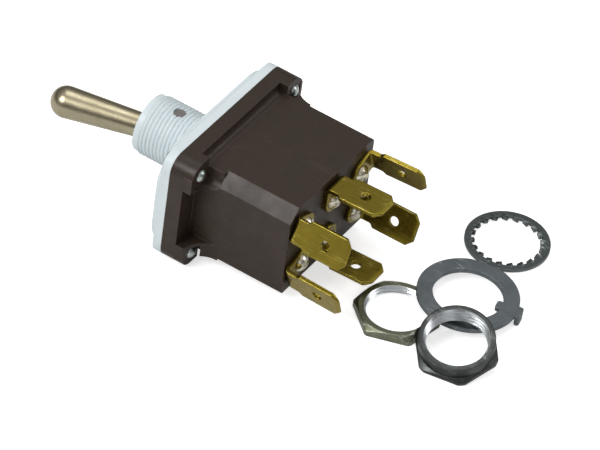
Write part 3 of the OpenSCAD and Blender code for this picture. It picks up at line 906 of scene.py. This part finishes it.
@dataclass
class PaintedFront(SubAssembly):
    """The cover plate and the threaded bushing, under one coat of paint."""

    plate_edge: float = 0.22
    plate_segments: int = 3
    pin_edge: float = 0.1
    bushing_r: float = 5.95
    rim: float = 13.1
    lip_l: float = 1.3
    thread_depth: float = 0.3
    paint_t: float = 0.03
    runout: float = 0.5
    into_lip: float = 0.15
    tool_clear: float = 1.2
    tool_beyond: float = 5.0
    crisp_deg: float = 50.0

    def build(self) -> None:
        """Threads the bushing and paints both."""
        paint = FRONT_PAINT.build()
        self.dress(["cover_plate"], paint, self.plate_edge, self.plate_segments)
        self.dress(["pivot_pin"], PIN_STEEL.build(), self.pin_edge)
        piece = copy_of("bushing", "bushing_threaded")
        form = ThreadForm(origin=Vector((0, 0, 0)), axis=Vector((0, -1, 0)),
                          crest_r=self.bushing_r + self.paint_t,
                          root_r=self.bushing_r - self.thread_depth,
                          start=self.runout, stop=self.rim - self.lip_l + self.into_lip)
        form.cut(piece, self.bushing_r + self.tool_clear, self.tool_beyond)
        coat(piece, paint)
        soften(piece, 0.0, angle=self.crisp_deg)
        self.place(piece, Body.HOUSING, Slot.FRONT, "bushing")


@dataclass
class MouldedCase(SubAssembly):
    """The deep case, its gasket and the rivets that close it."""

    rivets: int = 4
    case_edge: float = 0.16
    rivet_edge: float = 0.08

    def build(self) -> None:
        """Dresses the case, the gasket and the rivets."""
        self.dress(["case"], CASE_PHENOLIC.build(), self.case_edge)
        self.dress(["cover_gasket"], GASKET_RUBBER.build(), 0.0)
        rivets = [f"case_rivet_{i + 1}" for i in range(self.rivets)]
        self.dress(rivets, RIVET_STEEL.build(), self.rivet_edge)


@dataclass
class Lever(SubAssembly):
    """The bat lever with the yoke and the sprung plungers inside the case."""

    poles: tuple[str, str] = ("a", "b")
    yoke_edge: float = 0.1
    plunger_edge: float = 0.05

    def build(self) -> None:
        """Dresses everything that tilts with the lever."""
        self.dress(["lever"], LEVER_NICKEL.build(), 0.0)
        nylon = YOKE_NYLON.build()
        self.dress(["yoke"], nylon, self.yoke_edge)
        self.dress([f"plunger_{pole}" for pole in self.poles], nylon, self.plunger_edge)
        springs = [f"plunger_spring_{pole}" for pole in self.poles]
        self.dress(springs, SPRING_WIRE.build(), 0.0)


@dataclass
class Contacts(SubAssembly):
    """Two rows of blade terminals, their studs and the rockers inside."""

    poles: tuple[str, str] = ("a", "b")
    columns: tuple[int, int, int] = (1, 2, 3)
    blade_edge: float = 0.14
    stud_edge: float = 0.1
    rocker_edge: float = 0.05

    def build(self) -> None:
        """Dresses the terminals, the studs and the rockers."""
        keys = [f"{pole}{column}" for pole in self.poles for column in self.columns]
        blades = [f"terminal_{key}" for key in keys]
        self.dress(blades, TERMINAL_BRASS.build(), self.blade_edge)
        studs = [f"contact_rivet_{key}" for key in keys]
        self.dress(studs, STUD_PLATE.build(), self.stud_edge)
        rockers = [f"rocker_{pole}" for pole in self.poles]
        self.dress(rockers, CONTACT_ALLOY.build(), self.rocker_edge)


@dataclass(frozen=True)
class Seat:
    """Where a loose ring lies: a place on its axis, the axis, and which way its corner is."""

    origin: Vector
    axis: Vector
    corner: Vector

    @staticmethod
    def off_axis(point: Vector, middle: Vector, axis: Vector) -> Vector:
        """The arm from an axis out to a point.

        Args:
            point: The point.
            middle: A place on the axis.
            axis: The axis, of length 1.

        Returns:
            The arm, square to the axis.
        """
        arm = point - middle
        return arm - axis * arm.dot(axis)

    @classmethod
    def of(cls, node: str, mount: str, drop: float) -> "Seat":
        """Finds the seat of a CAD node.

        Args:
            node: The CAD node, whose furthest point from the axis gives the corner.
            mount: Mount in the record that gives a place on the axis and its direction.
            drop: From that place down to the ring's lower face, in millimetres.

        Returns:
            The seat, with its origin on the lower face and its axis upwards.
        """
        place = next(m for m in frame["record"]["mounts"] if m["name"] == mount)
        axis = Vector(place["axis"]).normalized()
        axis = axis if axis.z > 0 else -axis
        middle = Vector(place["pos_m"])
        arms = [cls.off_axis(v.co, middle, axis) for v in frame["nodes"][node].data.vertices]
        reach = max(arm.length for arm in arms)
        far = [arm for arm in arms if arm.length > reach - CORNER_BAND_MM * MM]
        near = [arm for arm in far
                if arm.dot(far[0]) > CORNER_COSINE * far[0].length * arm.length]
        corner = sum(near, Vector()) / len(near)
        return cls(middle - axis * drop * MM, axis, corner.normalized())

    def point(self, turn: float, r: float, up: float) -> Vector:
        """A place on the ring.

        Args:
            turn: Angle from the corner, in radians.
            r: Distance from the axis, in millimetres.
            up: Height above the lower face, in millimetres.

        Returns:
            The place in the part's frame, in metres.
        """
        side = self.axis.cross(self.corner)
        arm = self.corner * math.cos(turn) + side * math.sin(turn)
        return self.origin + (arm * r + self.axis * up) * MM


@dataclass
class ThreadedNut:
    """A thin hexagon nut with a threaded hole, and a collar where it has one."""

    name: str
    seat: Seat
    af: float = 14.3
    hex_t: float = 1.8
    chamfer: float = 0.75
    corner_round: float = 0.16
    collar_r: float = 0.0
    height: float = 1.8
    bore_r: float = 5.6
    sink: float = 0.4
    thread_depth: float = 0.3
    crest_share: float = 0.2
    flank_share: float = 0.6
    pitch: float = THREAD_PITCH
    face_in: float = 0.15
    edge: float = 0.1
    edge_knee: float = 0.3
    chamfer_rows: int = 8
    columns: int = 144
    row: float = 0.09

    def _hex(self, turn: float, up: float) -> float:
        """Radius of the chamfered hexagon.

        Args:
            turn: Angle from a corner, in radians.
            up: Height above the lower face, in millimetres.

        Returns:
            The radius in millimetres.
        """
        apothem = self.af / 2
        corner = apothem / math.cos(math.pi / 6)
        from_corner = (turn + math.pi / 6) % (math.pi / 3) - math.pi / 6
        flat = apothem / math.cos(math.pi / 6 - abs(from_corner))
        reach = corner - self.corner_round
        share = max(0.0, (up - (self.hex_t - self.chamfer)) / self.chamfer)
        face = apothem - self.face_in
        cone = reach + (face - reach) * share
        return min(flat, reach, cone)

    def _bore(self, turn: float, up: float) -> float:
        """Radius of the threaded and countersunk hole.

        Args:
            turn: Angle from a corner, in radians.
            up: Height above the lower face, in millimetres.

        Returns:
            The radius in millimetres.
        """
        phase = (up / self.pitch - turn / math.tau) % 1.0
        rise = (abs(2.0 * phase - 1.0) - self.crest_share) / self.flank_share
        groove = min(max(rise, 0.0), 1.0)
        thread = self.bore_r + self.thread_depth * groove
        inlet = self.bore_r + self.sink - min(up, self.height - up)
        return max(thread, inlet)

    def _outline(self) -> list[tuple[float, float, bool]]:
        """The outer hoops, from below to above.

        Returns:
            Height and inset in millimetres of each hoop, and True where it is on the hexagon.
        """
        e, knee, rows = self.edge, self.edge_knee * self.edge, self.chamfer_rows
        hoops = [(0.0, e, True), (knee, knee, True), (e, 0.0, True)]
        hoops += [(self.hex_t - self.chamfer * (1 - i / rows), 0.0, True)
                  for i in range(rows + 1)]
        if self.collar_r:
            hoops += [(self.hex_t, 0.0, False), (self.height - e, 0.0, False),
                      (self.height - knee, knee, False), (self.height, e, False)]
        return hoops

    def build(self) -> bpy.types.Object:
        """Builds the nut as one closed mesh of hoops.

        Returns:
            The nut in place.
        """
        work = bmesh.new()
        turns = [math.tau * k / self.columns for k in range(self.columns)]
        rings = []
        for up, inset, hexagon in self._outline():
            rings.append([work.verts.new(self.seat.point(
                t, (self._hex(t, up) if hexagon else self.collar_r) - inset, up))
                for t in turns])
        rows = round(self.height / self.row)
        for i in range(rows + 1):
            up = self.height * (1 - i / rows)
            rings.append([work.verts.new(self.seat.point(t, self._bore(t, up), up))
                          for t in turns])
        bore_start = len(self._outline())
        for i, low in enumerate(rings):
            high = rings[(i + 1) % len(rings)]
            for k in range(self.columns):
                m = (k + 1) % self.columns
                face = work.faces.new((low[k], low[m], high[m], high[k]))
                # The bore's faces take the second material, the thread finish, which is partly
                # a painted highlight.
                face.material_index = int(bore_start <= i < len(rings) - 1)
        return put_in_scene(self.name, work)


@dataclass
class MountingHardware(SubAssembly):
    """The two nuts, the locking ring and the lock washer that lie beside the switch."""

    plain_drop: float = 0.9
    collar_drop: float = 1.8
    nut_crisp_deg: float = 24.0
    washer_edge: float = 0.05
    ring_edge: float = 0.1
    tab_round: float = 0.45
    tab_segments: int = 4
    corner_deg: float = 50.0
    upright_cosine: float = 0.98

    def build(self) -> None:
        """Builds the nuts and the ring, and dresses all four."""
        # The thread finish, partly a painted highlight.
        bright = THREAD_METAL_AND_HIGHLIGHT.build()
        plain = ThreadedNut("hex_nut_threaded",
                            Seat.of("hex_nut", "hex_nut_thread", self.plain_drop))
        self.nut(plain, "hex_nut", Slot.PLATED_NUT, NUT_ZINC.build(), bright)
        collared = ThreadedNut("collar_nut_threaded",
                               Seat.of("collar_nut", "collar_nut_thread", self.collar_drop),
                               hex_t=1.15, chamfer=0.5, corner_round=0.35, collar_r=6.95,
                               height=3.6)
        self.nut(collared, "collar_nut", Slot.BLACK_NUT, NUT_BLACK.build(), bright)
        self.ring(RING_STEEL.build())
        self.dress(["lock_washer"], WASHER_STEEL.build(), self.washer_edge)

    def nut(self, form: ThreadedNut, node: str, slot: Slot,
            *materials: bpy.types.Material) -> None:
        """Builds one nut in place of its CAD node.

        Args:
            form: The nut's form.
            node: The CAD nut.
            slot: Material slot of the outside.
            materials: Finish of the outside, and of the thread, which is partly a painted
                highlight.
        """
        piece = form.build()
        coat(piece, *materials)
        soften(piece, 0.0, angle=self.nut_crisp_deg)
        self.place(piece, Body.HOUSING, slot, node)

    def ring(self, steel: bpy.types.Material) -> None:
        """Builds the locking ring, with the corners of its key and its tab rounded.

        Args:
            steel: Its material.
        """
        piece = copy_of("locking_ring", "locking_ring_stamped")
        axis = Seat.of("locking_ring", "locking_ring_hole", 0.0).axis
        work = bmesh.new()
        work.from_mesh(piece.data)
        bmesh.ops.dissolve_limit(work, angle_limit=math.radians(FLAT_DEG),
                                 verts=work.verts, edges=work.edges)
        corners = [
            edge for edge in work.edges
            if edge.is_manifold and edge.is_convex
            and edge.calc_face_angle(0.0) > math.radians(self.corner_deg)
            and abs((edge.verts[0].co - edge.verts[1].co).normalized().dot(axis))
            > self.upright_cosine]
        bmesh.ops.bevel(work, geom=corners, offset=self.tab_round * MM,
                        segments=self.tab_segments, profile=0.5, affect="EDGES",
                        clamp_overlap=False)
        LOG.info("rounded %d corners of the ring", len(corners))
        work.to_mesh(piece.data)
        work.free()
        coat(piece, steel)
        soften(piece, self.ring_edge)
        self.place(piece, Body.HOUSING, Slot.RING, "locking_ring")


# --------------------------------------------------------------------------- studio


@dataclass(frozen=True)
class Softbox:
    """A soft square lamp that faces the part."""

    name: str
    direction: tuple[float, float, float]
    distance: float
    size: float
    power: float
    colour: Colour = WHITE

    def build(self, centre: Vector) -> None:
        """Hangs the lamp.

        Args:
            centre: What it faces.
        """
        light = bpy.data.lights.new(self.name, "AREA")
        light.shape = "SQUARE"
        light.size = self.size
        light.energy = self.power
        light.color = self.colour
        lamp = bpy.data.objects.new(self.name, light)
        toward = Vector(self.direction).normalized()
        lamp.location = centre + toward * self.distance
        lamp.rotation_mode = "QUATERNION"
        lamp.rotation_quaternion = toward.to_track_quat("Z", "Y")
        bpy.context.scene.collection.objects.link(lamp)


@dataclass
class Studio:
    """A pale floor, a white surround and soft lamps."""

    floor_half: float = 1.5
    floor_grey: float = 0.8
    floor_roughness: float = 0.9
    floor_specular: float = 0.1
    floor_glow: float = 0.62
    floor_mirrored: float = 0.12
    ambient: float = 0.42
    heights: tuple[tuple[float, float], ...] = (
        (0.0, 0.35), (0.5, 0.06), (0.62, 0.08), (0.8, 0.35), (1.0, 0.6))
    lamps: tuple[Softbox, ...] = (
        Softbox("key_softbox", (0.67, -0.31, 0.68), 0.8, 0.34, 3.5),
        Softbox("top_softbox", (-0.25, -0.1, 1.0), 0.9, 0.5, 2.2),
        Softbox("back_softbox", (-0.5, 0.75, 0.45), 0.9, 0.35, 1.4),
        Softbox("right_softbox", (0.6, 0.9, 0.35), 0.9, 0.3, 0.25),
    )

    def build(self, low: Vector, high: Vector) -> None:
        """Builds the floor, the surround and the lamps.

        Args:
            low: The part's lowest corner.
            high: The part's highest corner.
        """
        self._world()
        self._floor(low.z)
        for lamp in self.lamps:
            lamp.build((low + high) / 2)

    def _world(self) -> None:
        """A surround that is white to the camera and darker low at the sides in metal."""
        world = bpy.data.worlds.new("white_surround")
        bpy.context.scene.world = world
        world.use_nodes = True
        world.node_tree.nodes.clear()
        g = Graph(world.node_tree)
        heading = g.add("ShaderNodeSeparateXYZ")
        g.join(g.add("ShaderNodeTexCoord").outputs["Generated"], heading.inputs[0])
        ramp = g.add("ShaderNodeValToRGB")
        while len(ramp.color_ramp.elements) < len(self.heights):
            ramp.color_ramp.elements.new(0.5)
        for stop, (place, level) in zip(ramp.color_ramp.elements, self.heights):
            stop.position = place
            stop.color = (level, level, level, 1.0)
        g.join(g.maths("MULTIPLY_ADD", heading.outputs["Z"], 0.5, 0.5), ramp.inputs[0])
        path = g.add("ShaderNodeLightPath")
        shiny = g.maths("MAXIMUM", path.outputs["Is Glossy Ray"],
                        path.outputs["Is Transmission Ray"])
        mirrored = g.blend(shiny, (self.ambient,) * 3, ramp.outputs[0])
        seen = g.blend(path.outputs["Is Camera Ray"], mirrored, WHITE)
        surround = g.add("ShaderNodeBackground")
        g.join(seen, surround.inputs["Color"])
        output = g.add("ShaderNodeOutputWorld")
        g.join(surround.outputs[0], output.inputs["Surface"])

    def _floor(self, height: float) -> None:
        """A pale floor that keeps the part's shadow.

        Args:
            height: Height of its top.
        """
        half = self.floor_half
        mesh = bpy.data.meshes.new("floor")
        corners = [(-half, -half, height), (half, -half, height),
                   (half, half, height), (-half, half, height)]
        mesh.from_pydata(corners, [], [(0, 1, 2, 3)])
        floor = bpy.data.objects.new("floor", mesh)
        bpy.context.scene.collection.objects.link(floor)
        floor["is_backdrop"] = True
        d = Dressing.start("pale_floor")
        d.shader.inputs["Base Color"].default_value = (*(self.floor_grey,) * 3, 1.0)
        d.shader.inputs["Roughness"].default_value = self.floor_roughness
        d.shader.inputs["Specular IOR Level"].default_value = self.floor_specular
        path = d.add("ShaderNodeLightPath")
        mirrored = d.maths("MAXIMUM", path.outputs["Is Glossy Ray"],
                           path.outputs["Is Transmission Ray"])
        seen = d.maths("MAXIMUM", path.outputs["Is Camera Ray"],
                       d.maths("MULTIPLY", mirrored, self.floor_mirrored))
        d.shader.inputs["Emission Color"].default_value = (*WHITE, 1.0)
        d.join(d.maths("MULTIPLY", seen, self.floor_glow),
               d.shader.inputs["Emission Strength"])
        coat(floor, d.material)


@dataclass(frozen=True)
class ProductCamera:
    """A long lens above the part's near corner, rolled a little."""

    azimuth: float = 117.98
    elevation: float = 42.09
    roll: float = 8.35
    lens: float = 372.7
    sensor: float = 36.0
    distance: float = 1122.23
    nearest: float = 0.05
    furthest: float = 20.0
    pivot: tuple[float, float, float] = (0.0, 0.8, 0.0)
    aim_right: float = 15.74
    aim_up: float = -12.58

    def build(self) -> None:
        """Makes the camera and gives it to the scene."""
        around, above, roll = (math.radians(angle) for angle
                               in (self.azimuth, self.elevation, self.roll))
        right = Vector((math.cos(around), math.sin(around), 0.0))
        look = Vector((-math.sin(around) * math.cos(above),
                       math.cos(around) * math.cos(above), -math.sin(above)))
        up = right.cross(look)
        rolled_right = right * math.cos(roll) + up * math.sin(roll)
        rolled_up = up * math.cos(roll) - right * math.sin(roll)
        data = bpy.data.cameras.new("product_camera")
        data.lens = self.lens
        data.sensor_width = self.sensor
        data.clip_start, data.clip_end = self.nearest, self.furthest
        camera = bpy.data.objects.new("product_camera", data)
        turn = Matrix((rolled_right, rolled_up, -look)).transposed()
        aim = Vector(self.pivot) + rolled_right * self.aim_right + rolled_up * self.aim_up
        camera.rotation_mode = "QUATERNION"
        camera.rotation_quaternion = turn.to_quaternion()
        camera.location = (aim - look * self.distance) * MM
        bpy.context.scene.collection.objects.link(camera)
        bpy.context.scene.camera = camera


def main() -> None:
    """Builds the camera, the sub-assemblies and the studio, and keeps the two sizes."""
    logging.basicConfig(level=logging.INFO, format="%(name)s: %(message)s")
    low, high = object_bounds()
    bpy.context.scene.view_settings.view_transform = "Standard"
    ProductCamera().build()
    for assembly in (PaintedFront(), MouldedCase(), Lever(), Contacts(), MountingHardware()):
        LOG.info("building %s", type(assembly).__name__)
        assembly.build()
    Studio().build(low, high)
    bpy.context.view_layer.update()


if __name__ == "__main__":
    main()
